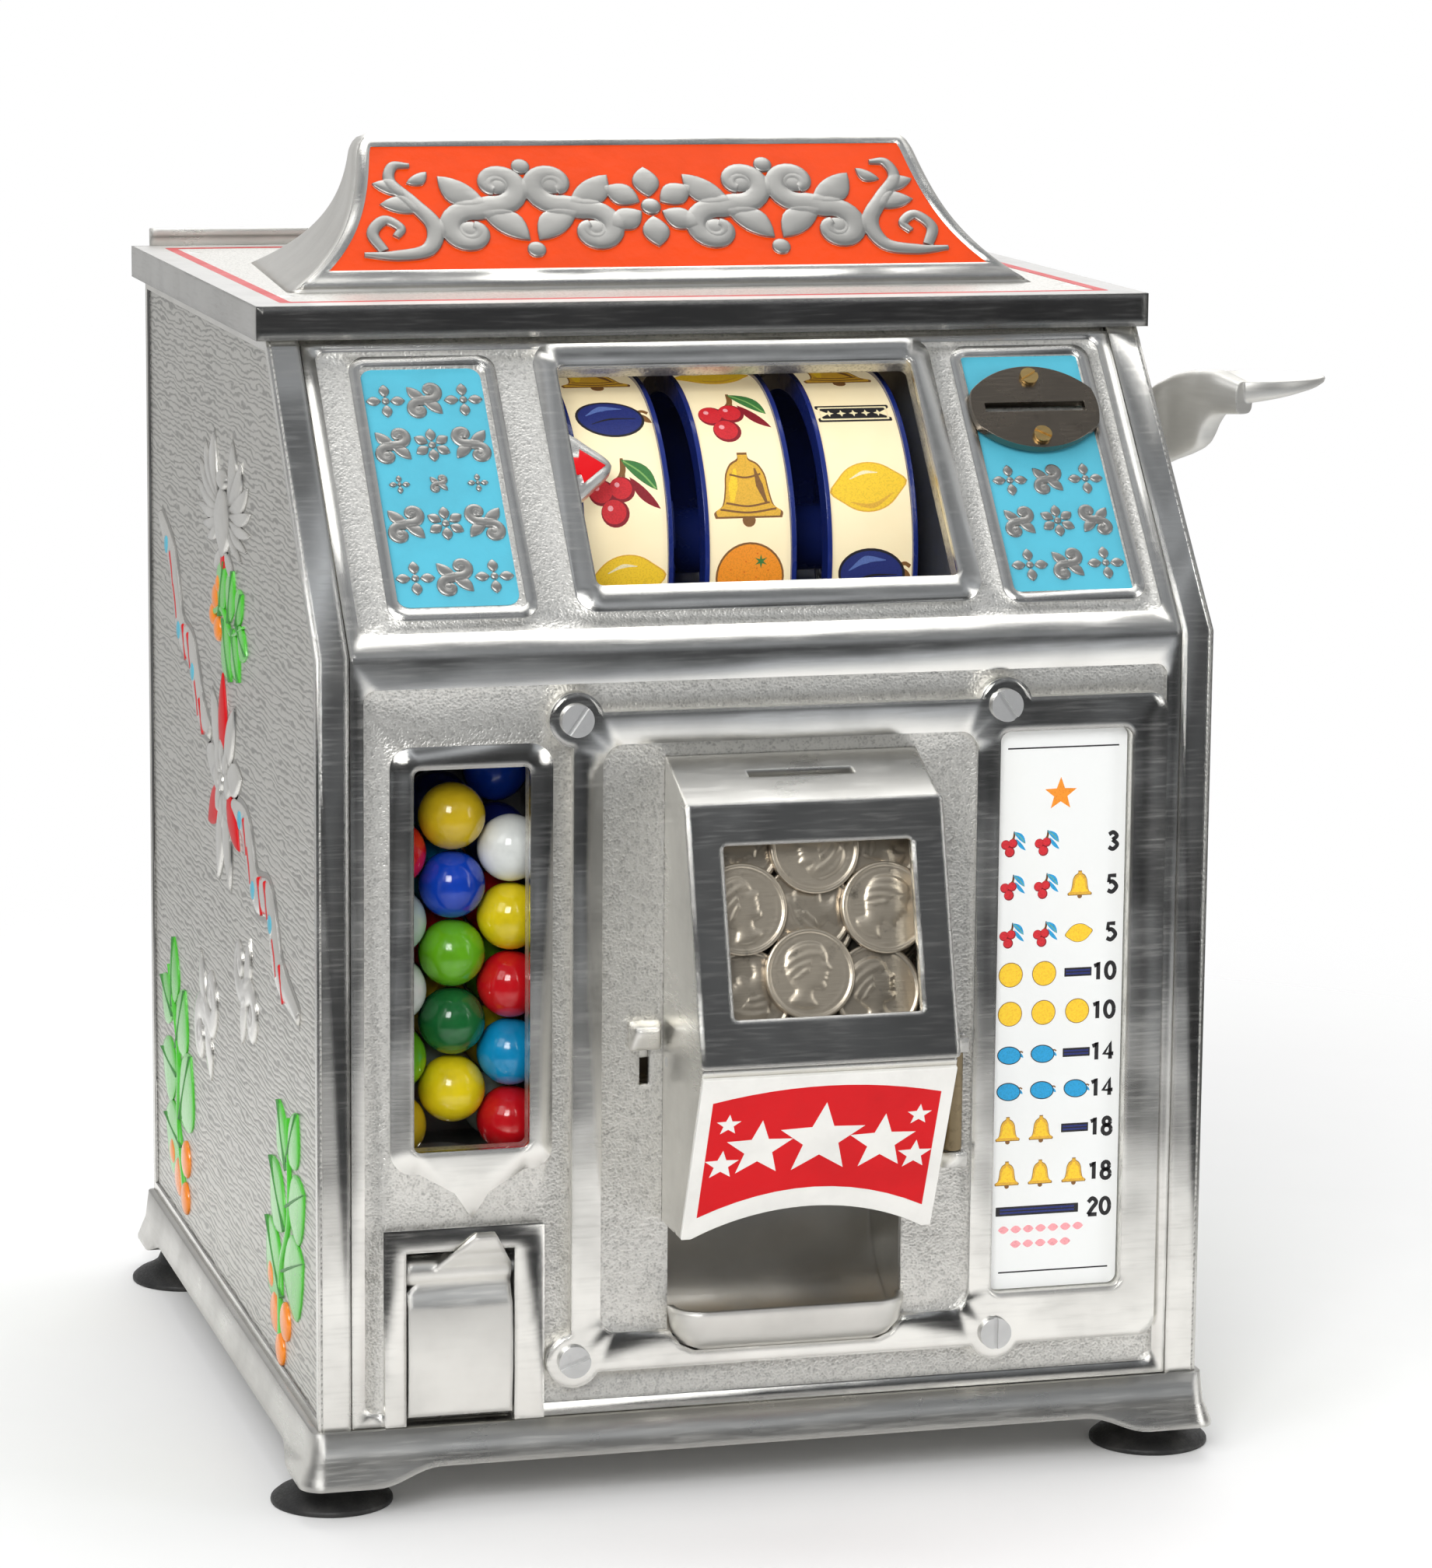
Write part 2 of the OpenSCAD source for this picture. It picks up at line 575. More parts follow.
module marquee() color("silver") difference() {
    marquee_loft(0);
    difference() {
        translate([0, 0, -0.01]) marquee_loft(marquee_t);
        for (p = marquee_holes()) translate([p[0], p[1], lid_z]) cylinder(d = 9, h = lid_h + 12);
    }
    for (p = marquee_holes()) translate([p[0], p[1], lid_z]) cylinder(d = 3, h = lid_h + 9);
}

// Glass panes of the leaning face and the gum window
pane_t = 1.5;
reel_floor = inner_depth + pane_t + 0.9;
module reel_glass() color("lightcyan", 0.4) on_lean(-inner_depth - pane_t)
    linear_extrude(pane_t) translate([win_x0 - 3, win_s0 - 3]) square([reel_win_w + 6, reel_win_h + 6]);
module gum_glass() color("lightcyan", 0.4) on_front(-inner_depth - pane_t)
    linear_extrude(pane_t) translate([gum_x - gum_win_w / 2 - 3, gum_win_low - 3])
    square([gum_win_w + 6, gum_win_top - gum_win_low + 6]);

// Award card and its cover
card_t = 0.5;
cover_t = 1.4;
module card_sheet(low, thick) on_front(-recess + low) linear_extrude(thick)
    round_rect(card_x - card_w / 2 + 0.2, card_x + card_w / 2 - 0.2, card_low + 0.2, card_top - 0.2, 2.2);
module award_card() color("white") card_sheet(0, card_t);
module card_glass() color("lightcyan", 0.3) card_sheet(card_t, cover_t);

// Payout cup behind the mouth, with a lip in front
cup_d = 27;
mouth_low = 16;
mouth_high = 49;
cup_low = mouth_low - 1.5;
cup_lip_z = 25;
lip_out = 9;
plate_y = front_y + recess - plate_floor;
// Sections of the cup's lip: height, drawn in at each end, how far out, corner
lip_rows = [
    [cup_lip_z - 1.2, 0, lip_out, 8], [cup_low + 4.6, 0.8, lip_out - 1.2, 7.4],
    [cup_low + 1.4, 3.2, lip_out - 4, 5], [cup_low, 6.4, 2.6, 2]
];
module lip_section(row, inset) intersection() {
    round_rect(-mouth_w / 2 + row[1] + inset, mouth_w / 2 - row[1] - inset, -row[2] + inset * 0.9, 20,
        max(row[3] - inset, 0.6));
    translate([-50, -50]) square([100, 50]);
}
module cup_lip(inset) for (i = [0 : len(lip_rows) - 2]) hull() for (row = [lip_rows[i], lip_rows[i + 1]])
    translate([mid_x, plate_y, base_top + row[0] + (row == lip_rows[0] && inset > 0 ? 1.5 : inset)])
    linear_extrude(row == lip_rows[0] ? 1.2 : 0.1) lip_section(row, inset);
module payout_cup() color("silver") {
    behind = front_y + recess;
    difference() {
        cup_lip(0);
        cup_lip(1.5);
    }
    // tongue through the mouth, into the scoop behind the plate
    translate([mid_x - mouth_w / 2 + 5.5, plate_y - 1, base_top + mouth_low + 0.1])
        cube([mouth_w - 11, behind - plate_y + 2, 1.5]);
    difference() {
        translate([mid_x - mouth_w / 2 - 1.6, behind, base_top + mouth_low - 1.4])
            cube([mouth_w + 3.2, cup_d, mouth_high - mouth_low + 2.8]);
        translate([mid_x, behind - 1, base_top + mouth_low + 1.6]) {
            translate([0, 0, cup_d - 1]) rotate([0, 90, 0])
                cylinder(r = cup_d - 1, h = mouth_w, center = true);
            translate([-mouth_w / 2, 0, cup_d - 4]) cube([mouth_w, cup_d - 1, 20]);
        }
    }
}

// Jackpot door: a cast housing hinged on the right
frame_t = 1.6;
sign_t = 1.2;
door_gap = 0.2;
door_y = plate_y - door_gap;
nose = [
    [door_y, base_top + jack_top], [door_y - reach_top, base_top + frame_top],
    [door_y - reach_nose, base_top + frame_low], [door_y - reach_sign, base_top + sign_low]
];
frame_tilt = atan((reach_nose - reach_top) / (frame_top - frame_low));
sign_tilt = atan((reach_sign - reach_nose) / (frame_low - sign_low));
frame_len = norm(nose[1] - nose[2]);
sign_len = norm(nose[2] - nose[3]);
arch_r = (pow(jack_w / 2 - 2, 2) + arch_rise * arch_rise) / (2 * arch_rise);
function left_of(a, b) = let(d = b - a) [-d[1], d[0]] / norm(d);
function moved_in(p, q, r, t) = let(m = left_of(p, q), n = left_of(q, r)) q + (m + n) * t / (1 + m * n);
module on_frame(out = 0) translate([mid_x, nose[2][0], nose[2][1]]) rotate([90 - frame_tilt, 0, 0])
    translate([0, 0, out]) children();
module on_sign(out = 0) translate([mid_x, nose[3][0], nose[3][1]]) rotate([90 - sign_tilt, 0, 0])
    translate([0, 0, out]) children();
win_low = 11;
win_high = frame_len - 9.3;
trap_z = base_top + frame_low - 4.5;
trap_y = door_y - 3;
trap_rod = 2.4;
module jackpot_door() color("silver") {
    top_run = nose[0] - nose[1];
    sign_run = nose[3] - nose[2];
    inner_a = nose[0] + left_of(nose[0], nose[1]) * jack_t + top_run * 0.5;
    inner_d = nose[3] + left_of(nose[2], nose[3]) * jack_t + sign_run * 0.5;
    difference() {
        translate([mid_x, 0, 0]) along_x(jack_w)
            polygon(concat(nose, [[door_y, base_top + sign_low]]));
        translate([mid_x, 0, 0]) along_x(jack_w - 2 * jack_t) polygon([
            inner_a, moved_in(nose[0], nose[1], nose[2], jack_t),
            moved_in(nose[1], nose[2], nose[3], jack_t), inner_d,
            [door_y + 9, inner_d[1]], [door_y + 9, inner_a[1]]
        ]);
        on_frame(-jack_t - 1) linear_extrude(jack_t + 4)
            round_rect(-jack_win_w / 2, jack_win_w / 2, win_low, win_high, 1);
        on_sign(-jack_t - 2) linear_extrude(jack_t + 4) translate([0, arch_rise - arch_r]) circle(arch_r);
        // slot in the upper face for loading coins
        translate([mid_x, door_y - reach_top * 0.42, base_top + frame_top])
            cube([25, 2.4, 30], center = true);
        translate([mid_x - jack_w, trap_y, trap_z]) rotate([0, 90, 0])
            cylinder(d = trap_rod + 2 * fit, h = 2 * jack_w);
    }
}
module jackpot_frame() color("lightgray") on_frame() linear_extrude(frame_t) difference() {
    round_rect(-jack_w / 2 - 0.5, jack_w / 2 + 0.5, 0.6, frame_len, 1);
    round_rect(-jack_win_w / 2 + 0.6, jack_win_w / 2 - 0.6, win_low + 0.6, win_high - 0.6, 0.8);
}
module jackpot_glass() color("lightcyan", 0.4) on_frame(-jack_t - pane_t) linear_extrude(pane_t)
    translate([-jack_win_w / 2 - 3, win_low - 3]) square([jack_win_w + 6, win_high - win_low + 5.2]);
module sign_panel() color("white") on_sign() linear_extrude(sign_t) difference() {
    translate([-jack_w / 2, 0.2]) square([jack_w, sign_len - 1.4]);
    translate([0, arch_rise - arch_r]) circle(arch_r);
}

// Hinge of the jackpot door
pin_x = mid_x + jack_w / 2 + 9.5;
pin_low = 59;
pin_top = 83;
pin_out = 3.2;
lug_h = 3.5;
door_pin_dia = 2;
barrel_dia = 4.6;
leaf_t = 1.2;
module door_hinge() color("goldenrod") translate([0, plate_y, base_top]) difference() {
    union() {
        translate([pin_x, -pin_out, pin_low + 0.3]) cylinder(d = barrel_dia, h = pin_top - pin_low - 0.6);
        translate([mid_x + jack_w / 2, -pin_out - leaf_t / 2, pin_low + 0.3])
            cube([pin_x - mid_x - jack_w / 2, leaf_t, pin_top - pin_low - 0.6]);
        translate([mid_x + jack_w / 2, -pin_out - 8, pin_low + 0.3])
            cube([leaf_t, 8, pin_top - pin_low - 0.6]);
    }
    translate([pin_x, -pin_out, 0]) cylinder(d = door_pin_dia + 2 * fit, h = 120);
}
module door_pin() color("gray") translate([pin_x, plate_y - pin_out, base_top + pin_low - lug_h])
    cylinder(d = door_pin_dia, h = pin_top - pin_low + 2 * lug_h);

// Thumb latch on the left of the door, sliding down in its slot
latch_x = mid_x - jack_w / 2 - 4.4;
latch_z = 87;
module door_latch() color("silver") on_front(-recess + plate_floor) {
    translate([latch_x - 4, latch_z - 0.4, door_gap]) hull() {
        cube([7.4, 7, 2]);
        translate([1, 4.6, 0]) cube([5.4, 1.6, 5.2]);
    }
    translate([latch_x - 1, latch_z - 0.4, -plate_floor - 0.2]) cube([2, 1.8, plate_floor + 1]);
    translate([latch_x - 3, latch_z - 3, -plate_floor - 1.4]) cube([6, 6, 1.2]);
}

// Trap that drops the coins, and the coins on it
trap_l = 24;
module coin_trap() color("gray") {
    translate([0, trap_y, trap_z]) rod_x(trap_rod, mid_x - jack_w / 2, mid_x + jack_w / 2);
    translate([mid_x - jack_w / 2 + jack_t + 0.6, trap_y - trap_l, trap_z - 0.6])
        cube([jack_w - 2 * jack_t - 1.2, trap_l, 1.2]);
}
coin_step = coin_t + 0.05;
// Across, up the glass, and how many coins deep
coins = [
    [-17, 37, 0], [1, 50.4, 0], [17, 36, 0], [-2, 21.5, 0],
    [-1, 36.6, 1], [-16.5, 17.5, 1], [14, 17.5, 1], [-17, 52, 1], [17, 52, 1],
    [-12, 15.5, 2], [12, 15.5, 2], [0, 34, 2],
    [-17, 20, 3], [5, 14.5, 3], [17, 33, 3], [-6, 39, 3],
    [-15, 15, 4], [10, 17, 4], [-3, 36, 4],
    [-16, 18, 5], [7, 15, 5], [15, 36, 5]
];
module jackpot_coins() color([0.6, 0.57, 0.5]) for (c = coins)
    on_frame(-jack_t - pane_t - 0.3 - coin_t - c[2] * coin_step) translate([c[0], c[1], 0])
    cylinder(d = coin_dia, h = coin_t);

// Gum hopper, wheel, cup and flap
hopper_t = 1.2;
hopper_w = ball_dia * (1 + 2 * sin(60)) + 0.6;
hopper_low = 59;
hopper_x = gum_x - 1.5;
hopper_y0 = front_y + inner_depth;
ball_y = hopper_y0 + pane_t + 0.3 + ball_dia / 2;
ball_step = ball_dia + 0.15;
hopper_y1 = ball_y + ball_step + ball_dia / 2 + 0.3;
wheel_r = 11;
wheel_y = hopper_y0 + 14;
wheel_z = hopper_low - wheel_r - 0.6;
wheel_w = 19;
wheel_rod = 4;
cheek_t = 3;
cup_back = front_y + 34;
module gum_hopper() color("gainsboro") difference() {
    translate([hopper_x, 0, 0]) along_x(hopper_w + 2 * hopper_t) polygon([
        [hopper_y0, base_top + hopper_low], knee_at(inner_depth + 0.2),
        [hopper_y1 + hopper_t, under_lean(hopper_y1 + hopper_t)],
        [hopper_y1 + hopper_t, base_top + hopper_low]
    ]);
    translate([hopper_x - hopper_w / 2, hopper_y0 - 1, base_top + hopper_low + hopper_t])
        cube([hopper_w, hopper_y1 - hopper_y0 + 1, body_h]);
    translate([flap_x, wheel_y, base_top + hopper_low - 1]) cylinder(d = ball_dia + 1.6, h = 4);
}
// Height of the leaning face's back, less a little, over a place y
function under_lean(y) = knee_z + (y - front_y - (inner_depth + 0.2) / cos(lean)) / tan(lean);
// Three staggered columns, two balls deep, as high as the stock stands
function balls() = [for (k = [-1 : 1], layer = [0, 1], row = [0 : ball_rows - 1]) let(
    y = ball_y + layer * ball_step,
    z = base_top + hopper_low + hopper_t + ball_dia / 2 + 0.1 + (row + (k == 0 ? 0.5 : 0)) * ball_step
) if (under_lean(y) - z > (ball_dia / 2 + 0.3) / sin(lean))
    [hopper_x + k * ball_step * sin(60), y, z]];
module gumballs() color("tomato") for (p = balls()) translate(p) sphere(d = ball_dia, $fn = 48);
module gum_wheel() color("gainsboro") translate([flap_x, wheel_y, base_top + wheel_z]) difference() {
    rotate([0, 90, 0]) cylinder(r = wheel_r, h = wheel_w, center = true);
    rotate([0, 90, 0]) cylinder(d = wheel_rod + 2 * fit, h = 2 * wheel_w, center = true);
    translate([0, 0, wheel_r]) sphere(d = ball_dia + 0.6, $fn = 48);
}
module gum_wheel_shaft() color("gray") translate([0, wheel_y, base_top + wheel_z])
    rod_x(wheel_rod, gum_open_l - cheek_t, gum_open_r + cheek_t);
flap_y = front_y + 4;
module gum_cup() color("silver") difference() {
    union() {
        for (x = [gum_open_l - cheek_t, gum_open_r])
            translate([x, hopper_y0, base_top + 0.2]) cube([cheek_t, cup_back - hopper_y0, hopper_low - 0.2]);
        translate([gum_open_l, hopper_y0, base_top + 0.2])
            cube([gum_open_r - gum_open_l, cup_back - hopper_y0, 1.6]);
        translate([gum_open_l, cup_back - 2, base_top + 0.2])
            cube([gum_open_r - gum_open_l, 2, wheel_z - wheel_r - 2]);
    }
    // room for the lugs of the flap's pin
    translate([gum_open_l - 10, 0, base_top + flap_pivot - 5.2])
        translate([0, hopper_y0 - 1, 0]) cube([60, lug_d + recess - inner_depth + 1.2, 10.4]);
    translate([0, wheel_y, base_top + wheel_z])
        rod_x(wheel_rod + 0.02, gum_open_l - 10, gum_open_r + 10);
}
flap_barrel = 7;
horn_top = 46.5;
module gum_flap() color("silver") difference() {
    union() {
        intersection() {
            translate([flap_x, front_y, base_top]) along_x(flap_w) polygon([
                [-0.8, 2.4], [-1.5, 12], [-1.5, 20], [-0.9, 28.5], [0.8, 30.6], [1.6, 33], [0.6, 37],
                [-2.4, 41.5], [-3.8, 45], [-1.8, 45.8], [-1.5, 41], [2.6, 40.6], [5, 38.6], [5, 32],
                [3, 29.5], [1.4, 26.5], [1.2, 2.4]
            ]);
            on_front(-20) translate([flap_x, 0, 0]) linear_extrude(40) polygon([
                [-flap_w / 2, 0], [flap_w / 2, 0], [flap_w / 2, 37.5], [9.4, horn_top - 3.9],
                [7.4, horn_top], [4.5, horn_top], [-1.5, horn_top - 4.9], [-7.6, horn_top - 11.1],
                [-flap_w / 2, horn_top - 15.1]
            ]);
        }
        translate([0, flap_y, base_top + flap_pivot])
            rod_x(flap_barrel, flap_x - flap_w / 2, flap_x + flap_w / 2);
    }
    translate([0, flap_y, base_top + flap_pivot])
        rod_x(flap_pin_dia + 2 * fit, flap_x - flap_w, flap_x + flap_w);
}
module flap_pin() color("gray") translate([0, flap_y, base_top + flap_pivot]) {
    rod_x(flap_pin_dia, gum_open_l - lug_t, gum_open_r + lug_t);
    rod_x(flap_barrel, flap_x - flap_w / 2 - 1.4, flap_x - flap_w / 2 - 0.4);
}

// A wire wound round the X axis: centres of its rings from end to end
function wound(turns, pitch, r, rings = 8) = [for (i = [0 : turns * rings])
    [i / rings * pitch, r * cos(360 * i / rings), r * sin(360 * i / rings)]];
function with_ends(path, wire, leg) = let(
    a = path[0], b = path[len(path) - 1], n = len(path)
) concat([a + [0, 0, -leg], a + [0, 0, -wire]], path, [b + [0, 0, wire], b + [0, 0, leg]]);
function cross_dir(path, i) = let(
    a = path[max(i - 1, 0)], b = path[min(i + 1, len(path) - 1)]
) (b - a) / norm(b - a);
// The tube round a path, six-sided, with one side kept towards X
module wire_tube(path, dia, sides = 6) {
    n = len(path);
    ring = [for (i = [0 : n - 1]) let(
        d = cross_dir(path, i),
        u0 = [1, 0, 0] - d * d[0],
        u = u0 / norm(u0),
        v = cross(d, u)
    ) for (k = [0 : sides - 1]) path[i] + (u * cos(360 * k / sides) + v * sin(360 * k / sides)) * dia / 2];
    polyhedron(points = ring, faces = concat(
        [[for (k = [0 : sides - 1]) k]],
        [for (i = [0 : n - 2], k = [0 : sides - 1]) let(
            a = i * sides + k, b = i * sides + (k + 1) % sides
        ) each [[a, a + sides, b + sides], [a, b + sides, b]]],
        [[for (k = [sides - 1 : -1 : 0]) (n - 1) * sides + k]]
    ));
}
flap_turns = 3;
flap_wire = 0.8;
flap_coil_pitch = 1.3;
flap_coil_r = 3;
module flap_spring() color("gray")
    translate([flap_x + flap_w / 2 + 0.9, flap_y, base_top + flap_pivot])
    wire_tube(with_ends(wound(flap_turns, flap_coil_pitch, flap_coil_r), flap_wire, 3), flap_wire);
handle_turns = 6;
handle_wire = 1.2;
handle_coil_pitch = 1.8;
spring_play = 0.35;
handle_coil_r = (handle_dia / 2 + spring_play + handle_wire / 2) / cos(180 / 8);
module handle_spring() color("gray")
    translate([mech_r + 18, handle_y, base_top + handle_z])
    wire_tube(with_ends(wound(handle_turns, handle_coil_pitch, handle_coil_r), handle_wire, 9), handle_wire);
// Least distance of a wound wire to its own next turn, measured on its points
function least_gap(path, wire, near = 6) = min([for (i = [0 : len(path) - 1], j = [0 : len(path) - 1])
    if (j >= i + near) norm(path[i] - path[j])]) - wire;
echo(
    flap_spring_gap = least_gap(wound(flap_turns, flap_coil_pitch, flap_coil_r), flap_wire),
    handle_spring_gap = least_gap(wound(handle_turns, handle_coil_pitch, handle_coil_r), handle_wire)
);

// Reels on their shaft
reel_depth = reel_floor + reel_r + flange_h;
reel_y = front_y + reel_s * sin(lean) + reel_depth * cos(lean);
reel_z = knee_z + reel_s * cos(lean) - reel_depth * sin(lean);
handle_y = reel_y + handle_behind;
handle_z = reel_z - base_top + handle_up;
strip_t = 0.4;
rim_t = 2.6;
web_t = 2;
flange_w = 1.2;
hub_dia = 16;
ratchet_gap = 0.6;
ratchet_t = 2.8;
ratchet_r = 30;
notch = 2.6;
side_play = 3.2;
function reel_x(i) = mid_x + (i - 2) * reel_pitch;
mech_t = 2;
mech_l = reel_x(1) - reel_w / 2 - side_play;
mech_r = reel_x(3) + reel_w / 2 + ratchet_gap + ratchet_t + side_play;
module reel(i) color([0.1, 0.12, 0.3]) translate([reel_x(i), reel_y, reel_z]) rotate([0, 90, 0])
    difference() {
        union() {
            difference() {
                translate([0, 0, -reel_w / 2]) cylinder(r = reel_r - strip_t, h = reel_w, $fn = 96);
                translate([0, 0, -reel_w]) cylinder(r = reel_r - strip_t - rim_t, h = 2 * reel_w, $fn = 96);
            }
            for (z = [-reel_w / 2, reel_w / 2 - flange_w]) translate([0, 0, z]) difference() {
                cylinder(r = reel_r + flange_h, h = flange_w, $fn = 96);
                translate([0, 0, -1]) cylinder(r = reel_r - strip_t - rim_t - 1, h = flange_w + 2, $fn = 96);
            }
            translate([0, 0, reel_w / 2 - flange_w - web_t]) cylinder(r = reel_r - strip_t - 1, h = web_t);
            translate([0, 0, -reel_w / 2]) cylinder(d = hub_dia, h = reel_w + ratchet_gap + ratchet_t);
            translate([0, 0, reel_w / 2 + ratchet_gap]) linear_extrude(ratchet_t) difference() {
                circle(ratchet_r);
                for (k = [0 : stops - 1]) rotate(k * 360 / stops + notch_turn)
                    polygon([[ratchet_r - notch, 0], [ratchet_r + 1, -3.2], [ratchet_r + 1, 3.2]]);
            }
        }
        translate([0, 0, -reel_w]) cylinder(d = reel_shaft_dia + 2 * fit, h = 3 * reel_w);
    }
module strip(i) color("cornsilk") translate([reel_x(i), reel_y, reel_z]) rotate([0, 90, 0])
    translate([0, 0, -reel_w / 2 + flange_w + 0.05]) difference() {
        cylinder(r = reel_r, h = reel_w - 2 * flange_w - 0.1, $fn = 96);
        translate([0, 0, -1]) cylinder(r = reel_r - strip_t, h = reel_w + 2, $fn = 96);
    }
module reel_1() reel(1);
module reel_2() reel(2);
module reel_3() reel(3);
module strip_1() strip(1);
module strip_2() strip(2);
module strip_3() strip(3);
module reel_shaft() color("gray") translate([0, reel_y, reel_z])
    rod_x(reel_shaft_dia, mech_l - mech_t - 4, mech_r + mech_t + 4);
module reel_collars() color("goldenrod") translate([0, reel_y, reel_z]) {
    stack = reel_w / 2 + ratchet_gap + ratchet_t;
    for (span = [[mech_l, reel_x(1) - reel_w / 2], [reel_x(1) + stack, reel_x(2) - reel_w / 2],
        [reel_x(2) + stack, reel_x(3) - reel_w / 2], [reel_x(3) + stack, mech_r]])
        difference() {
            rod_x(11, span[0] + 0.1, span[1] - 0.1);
            rod_x(reel_shaft_dia + 0.04, span[0] - 1, span[1] + 1);
        }
}

// Stop levers over the ratchets, and the bail that lifts them
stop_behind = 59.7;
stop_up = 10.9;
stop_y = reel_y + stop_behind;
stop_z = reel_z + stop_up;
stop_rod = 6;
tip_turn = 60;
tip_r = 0.9;
tip_gap = 0.4;
tip = [reel_y, reel_z] + (ratchet_r + tip_gap + tip_r) * [cos(tip_turn), sin(tip_turn)];
notch_turn = 90 - tip_turn;
lever_t = 2.2;
lever_x = reel_w / 2 + ratchet_gap + (ratchet_t - lever_t) / 2;
bail_reach = 12;
bail_y = stop_y - bail_reach;
bail_rod = 4;
lever_slope = (tip[1] + 4 - stop_z) / (stop_y - tip[0]);
bail_z = stop_z + bail_reach * lever_slope - 3 - bail_rod / 2 - 0.35;
module bar(a, b, w, boss = 0) {
    d = b - a;
    translate(a) rotate(atan2(d[1], d[0])) translate([0, -w / 2]) square([norm(d), w]);
    translate(a) circle(w / 2 + boss);
    translate(b) circle(w / 2 + boss);
}
module stop_lever(i) color("silver") translate([reel_x(i) + lever_x + lever_t / 2, 0, 0]) along_x(lever_t)
    difference() {
        union() {
            translate([stop_y, stop_z]) circle(6);
            bar([stop_y, stop_z], tip + [0, 4], 5);
            bar(tip + [0, 4], tip, 2 * tip_r);
        }
        translate([stop_y, stop_z]) circle(stop_rod / 2 + fit);
    }
module stop_lever_1() stop_lever(1);
module stop_lever_2() stop_lever(2);
module stop_lever_3() stop_lever(3);

// Handle shaft with its crank; the link carries its motion to the bail
crank_r = 10;
crank_turn = -handle_travel / 2;
crank_pin = [handle_y, base_top + handle_z] + crank_r * [cos(crank_turn), sin(crank_turn)];
link_len = crank_pin[1] - (stop_z - crank_r * sin(handle_travel / 2));
link_end = crank_pin - [0, link_len];
link_pin_dia = 3;
arm_t = 2.4;
arm_x = mech_r + mech_t + 1;
link_x = arm_x + arm_t + 0.4;
module lift_bail() color("gray") {
    translate([0, stop_y, stop_z]) rod_x(stop_rod, mech_l - mech_t - 3, arm_x + arm_t + 0.8);
    translate([0, bail_y, bail_z]) rod_x(bail_rod, mech_l + 0.8, mech_r - 0.8);
    for (x = [mech_l + 0.5, mech_r - 0.5 - arm_t]) translate([x + arm_t / 2, 0, 0]) along_x(arm_t)
        bar([stop_y, stop_z], [bail_y, bail_z], 6, 0.8);
    translate([arm_x + arm_t / 2, 0, 0]) along_x(arm_t) bar([stop_y, stop_z], link_end, 6, 0.8);
    translate([0, link_end[0], link_end[1]]) rod_x(link_pin_dia, arm_x + 0.6, link_x + 2.6);
}
module link_rod() color("silver") translate([link_x + 1, 0, 0]) along_x(2) difference() {
    bar(crank_pin, link_end, 7);
    translate(crank_pin) circle(link_pin_dia / 2 + fit);
    // a short slot takes up what the two arcs differ
    for (d = [-0.7, 0.7]) translate(link_end + [d, 0]) circle(link_pin_dia / 2 + 0.35);
    translate(link_end - [0.7, link_pin_dia / 2 + 0.35]) square([1.4, link_pin_dia + 0.7]);
}
shaft_end = body_w / 2 + 12.5;
module handle_shaft() color("gray") {
    translate([0, handle_y, base_top + handle_z]) rod_x(handle_dia, mech_r - 2, shaft_end);
    translate([arm_x + arm_t / 2, 0, 0]) along_x(arm_t) {
        bar([handle_y, base_top + handle_z], crank_pin, 7);
        translate([handle_y, base_top + handle_z]) circle(8);
    }
    translate([0, crank_pin[0], crank_pin[1]]) rod_x(link_pin_dia, arm_x, link_x + 2.6);
}
module handle_bush() color("goldenrod") translate([0, handle_y, base_top + handle_z]) difference() {
    union() {
        rod_x(bush_dia, body_w / 2 - side_t - 4, body_w / 2 + 0.2);
        rod_x(bush_dia + 5, body_w / 2 - side_t - 6, body_w / 2 - side_t);
    }
    rod_x(handle_dia + 2 * fit, 0, body_w);
}
hub_x0 = body_w / 2 + 0.6;
handle_hub_dia = 19;
pad_x = body_w / 2 + 35;
pad_y = handle_y - 35;
pad_z = base_top + handle_z + 10.8;
// Stations of the arm, from the end of its shaft
module handle_station(p, t, h) translate([body_w / 2, handle_y, base_top + handle_z] + p)
    scale([1, 1, h / t]) sphere(t, $fn = 24);
module handle() color("silver") difference() {
    union() {
        translate([0, handle_y, base_top + handle_z]) rod_x(handle_hub_dia, hub_x0, shaft_end - 1);
        hull() {
            handle_station([6, -2, 0], 4.4, 8.4);
            handle_station([8, -16, -1], 4, 9);
        }
        hull() {
            handle_station([8, -16, -1], 4, 9);
            handle_station([13, -28, 3.5], 3.6, 9.4);
        }
        hull() {
            handle_station([13, -28, 3.5], 3.6, 9.4);
            handle_station([19.5, -34, 9], 3.2, 5.4);
        }
        hull() {
            handle_station([19.5, -34, 9], 3.2, 5.4);
            handle_station([27, -35, 9.2], 2.6, 2.6);
        }
        translate([pad_x, pad_y, pad_z - 2]) rotate_extrude() polygon([
            [0, -0.6], [pad_dia / 2 - 5, 0], [pad_dia / 2 - 1, 1.2], [pad_dia / 2, 2.2],
            [pad_dia / 2 - 0.6, 2.8], [pad_dia / 2 - 2, 2.4], [pad_dia / 2 - 6, 1.6], [0, 1.4]
        ]);
    }
    translate([0, handle_y, base_top + handle_z]) rod_x(handle_dia + 0.04, 0, 2 * body_w);
}

